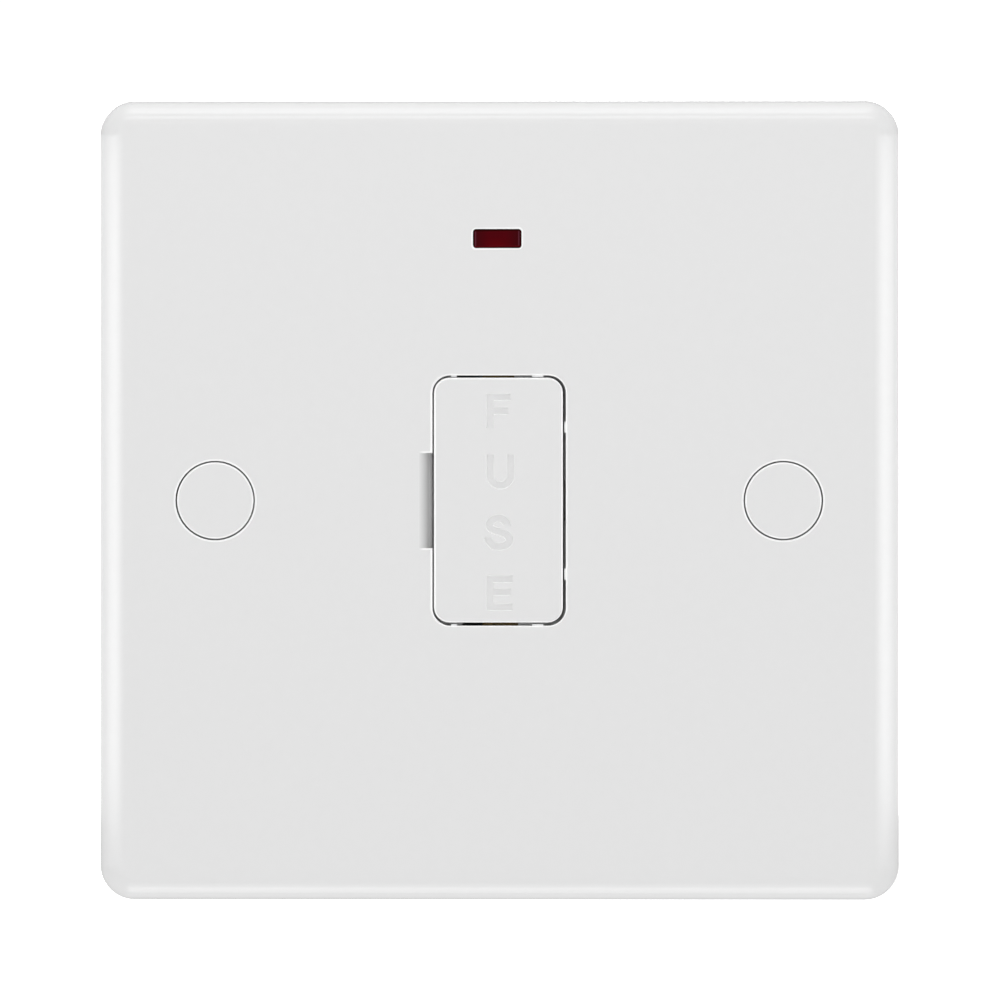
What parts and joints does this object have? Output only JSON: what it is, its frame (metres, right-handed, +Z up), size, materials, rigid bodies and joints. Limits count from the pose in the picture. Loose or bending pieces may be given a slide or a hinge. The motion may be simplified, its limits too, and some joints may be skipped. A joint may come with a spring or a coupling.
{
  "type": "fused spur unit",
  "caption": "Square white moulded fused connection plate with a pull-out fuse carrier, a slim red neon lens, and push-in covers over its fixing screws.",
  "frame": {"origin": "midway between the two fixing holes, on the wall plane at the plate's rear rim", "axes": "+X to the right as seen from the front, +Y into the wall, +Z up"},
  "size_m": [0.086, 0.026, 0.086],
  "materials": {
    "white_moulding": "gloss",
    "housing_moulding": "satin",
    "brass": "satin",
    "clip_brass": "satin",
    "terminal_screw_steel": "plated",
    "housing_screw_steel": "plated",
    "ceramic": "satin",
    "plated_cap": "plated",
    "red_lens": "gloss, translucent",
    "bulb_glass": "clear",
    "electrode_metal": "satin",
    "resistor_body": "satin",
    "lead_sleeve": "satin"
  },
  "bodies": {
    "unit": {"earth_in_terminal": "brass", "earth_link": "brass", "earth_out_terminal": "brass", "front_plate": "white_moulding", "fuse_clip_in": "clip_brass", "fuse_clip_out": "clip_brass", "housing_screws": "housing_screw_steel", "live_in_terminal": "brass", "live_out_terminal": "brass", "neon_bulb": "bulb_glass", "neon_electrodes": "electrode_metal", "neon_lead_live": "lead_sleeve", "neon_lead_neutral": "lead_sleeve", "neon_lens": "red_lens", "neon_resistor": "resistor_body", "neutral_in_terminal": "brass", "neutral_link": "brass", "neutral_out_terminal": "brass", "rear_housing": "housing_moulding"},
    "carrier": {"fuse_carrier": "white_moulding", "fuse_barrel": "ceramic", "fuse_cap_upper": "plated_cap", "fuse_cap_lower": "plated_cap"},
    "left_cover": {"screw_cover_left": "white_moulding"},
    "right_cover": {"screw_cover_right": "white_moulding"},
    "earth_out_clamp": {"earth_out_screw": "terminal_screw_steel"},
    "earth_in_clamp": {"earth_in_screw": "terminal_screw_steel"},
    "live_out_clamp": {"live_out_screw": "terminal_screw_steel"},
    "live_in_clamp": {"live_in_screw": "terminal_screw_steel"},
    "neutral_out_clamp": {"neutral_out_screw": "terminal_screw_steel"},
    "neutral_in_clamp": {"neutral_in_screw": "terminal_screw_steel"}
  },
  "joints": [
    {"name": "carrier_slide", "type": "slide", "parent": "unit", "child": "carrier", "axis": [0, -1, 0], "range_m": [0, 0.019]},
    {"name": "left_cover_pull", "type": "slide", "parent": "unit", "child": "left_cover", "axis": [0, -1, 0], "range_m": [0, 0.01]},
    {"name": "right_cover_pull", "type": "slide", "parent": "unit", "child": "right_cover", "axis": [0, -1, 0], "range_m": [0, 0.01]},
    {"name": "earth_out_tighten", "type": "slide", "parent": "unit", "child": "earth_out_clamp", "axis": [0, -1, 0], "range_m": [0, 0.0042]},
    {"name": "earth_in_tighten", "type": "slide", "parent": "unit", "child": "earth_in_clamp", "axis": [0, -1, 0], "range_m": [0, 0.0042]},
    {"name": "live_out_tighten", "type": "slide", "parent": "unit", "child": "live_out_clamp", "axis": [0, -1, 0], "range_m": [0, 0.0042]},
    {"name": "live_in_tighten", "type": "slide", "parent": "unit", "child": "live_in_clamp", "axis": [0, -1, 0], "range_m": [0, 0.0042]},
    {"name": "neutral_out_tighten", "type": "slide", "parent": "unit", "child": "neutral_out_clamp", "axis": [0, -1, 0], "range_m": [0, 0.0042]},
    {"name": "neutral_in_tighten", "type": "slide", "parent": "unit", "child": "neutral_in_clamp", "axis": [0, -1, 0], "range_m": [0, 0.0042]}
  ]
}
